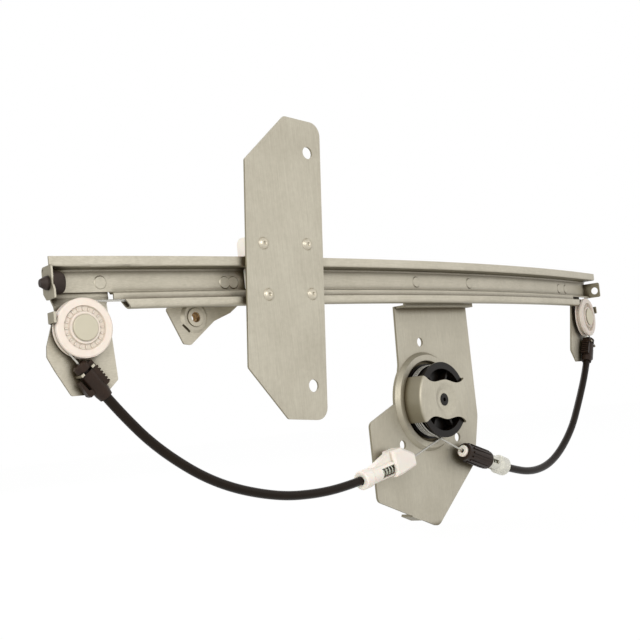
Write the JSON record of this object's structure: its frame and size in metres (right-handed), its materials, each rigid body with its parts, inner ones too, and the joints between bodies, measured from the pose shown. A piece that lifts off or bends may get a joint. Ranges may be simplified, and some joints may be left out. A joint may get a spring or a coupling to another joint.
{
  "type": "window regulator",
  "caption": "Cable window regulator: curved guide rail, glass carrier on a slider, pulleys, conduits with spring tensioners, and a cable drum under a strap on its motor plate.",
  "frame": {"origin": "drum axis at the front face of the drum plate, the centre of the motor's bolt circle", "axes": "+X along the rail, towards the end that points up in the car; +Z square to the rail in its plane, from the drum to the rail; -Y is the front, where the glass carrier is"},
  "size_m": [0.6334, 0.0453, 0.3005],
  "materials": {
    "zinc_plated_sheet": "zinc-plated sheet, warm grey and dull",
    "bright_steel": "plated, satin",
    "spring_steel": "drawn wire",
    "steel_cable": "stranded wire",
    "white_plastic": "natural acetal, cream white",
    "clear_plastic": "clear and slightly milky",
    "black_plastic": "moulded, fine grain",
    "conduit_skin": "extruded, slightly glossy",
    "black_rubber": "moulded rubber"
  },
  "bodies": {
    "rail_frame": {"guide_rail": "zinc_plated_sheet", "bump_stop": "black_rubber", "left_pulley_bracket": "zinc_plated_sheet", "left_pulley_rivet": "bright_steel", "left_sheath_socket": "black_plastic", "left_sheath": "conduit_skin", "left_sheath_ferrule": "bright_steel", "left_tensioner_sleeve": "white_plastic", "left_tensioner_spring": "spring_steel", "right_pulley_bracket": "zinc_plated_sheet", "right_pulley_rivet": "bright_steel", "right_sheath_socket": "black_plastic", "right_sheath": "conduit_skin", "right_sheath_ferrule": "bright_steel", "right_adjuster_sleeve": "clear_plastic", "right_adjuster_spring": "spring_steel", "right_adjuster_barrel": "black_plastic", "right_adjuster_nose": "white_plastic", "rail_cable": "steel_cable", "left_drum_cable": "steel_cable", "right_drum_cable": "steel_cable", "drum_plate": "zinc_plated_sheet", "drum_strap": "zinc_plated_sheet", "door_tab": "zinc_plated_sheet", "door_bush": "bright_steel", "bracket_rivets": "bright_steel"},
    "glass_carrier": {"carrier_plate": "zinc_plated_sheet", "carrier_rivets": "bright_steel", "slider_block": "white_plastic", "cable_nipples": "bright_steel"},
    "drum": {"cable_drum": "black_plastic", "drum_winding": "steel_cable"},
    "left_wheel": {"left_pulley": "white_plastic"},
    "right_wheel": {"right_pulley": "white_plastic"}
  },
  "joints": [
    {"name": "carrier_travel", "type": "hinge", "parent": "rail_frame", "child": "glass_carrier", "pos_m": [-0.0157, 1.595, 0.0909], "axis": [0, 0, 1], "range_deg": [-4.5, 14.3]},
    {"name": "drum_spin", "type": "hinge", "parent": "rail_frame", "child": "drum", "pos_m": [0, 0, 0], "axis": [0, 1, 0], "range_deg": [-270, 850]},
    {"name": "left_pulley_spin", "type": "hinge", "parent": "rail_frame", "child": "left_wheel", "pos_m": [-0.31103, 0.0052, 0.06405], "axis": [0.1826, 0.9832, 0], "range_deg": [-450, 1425]},
    {"name": "right_pulley_spin", "type": "hinge", "parent": "rail_frame", "child": "right_wheel", "pos_m": [0.26733, 0.00296, 0.06405], "axis": [-0.175, 0.9846, 0], "range_deg": [-450, 1425]}
  ],
  "couplings": [
    {"joint": "drum_spin", "follows": "carrier_travel", "ratio": 59.312},
    {"joint": "left_pulley_spin", "follows": "carrier_travel", "ratio": 99.28},
    {"joint": "right_pulley_spin", "follows": "carrier_travel", "ratio": 99.28}
  ]
}
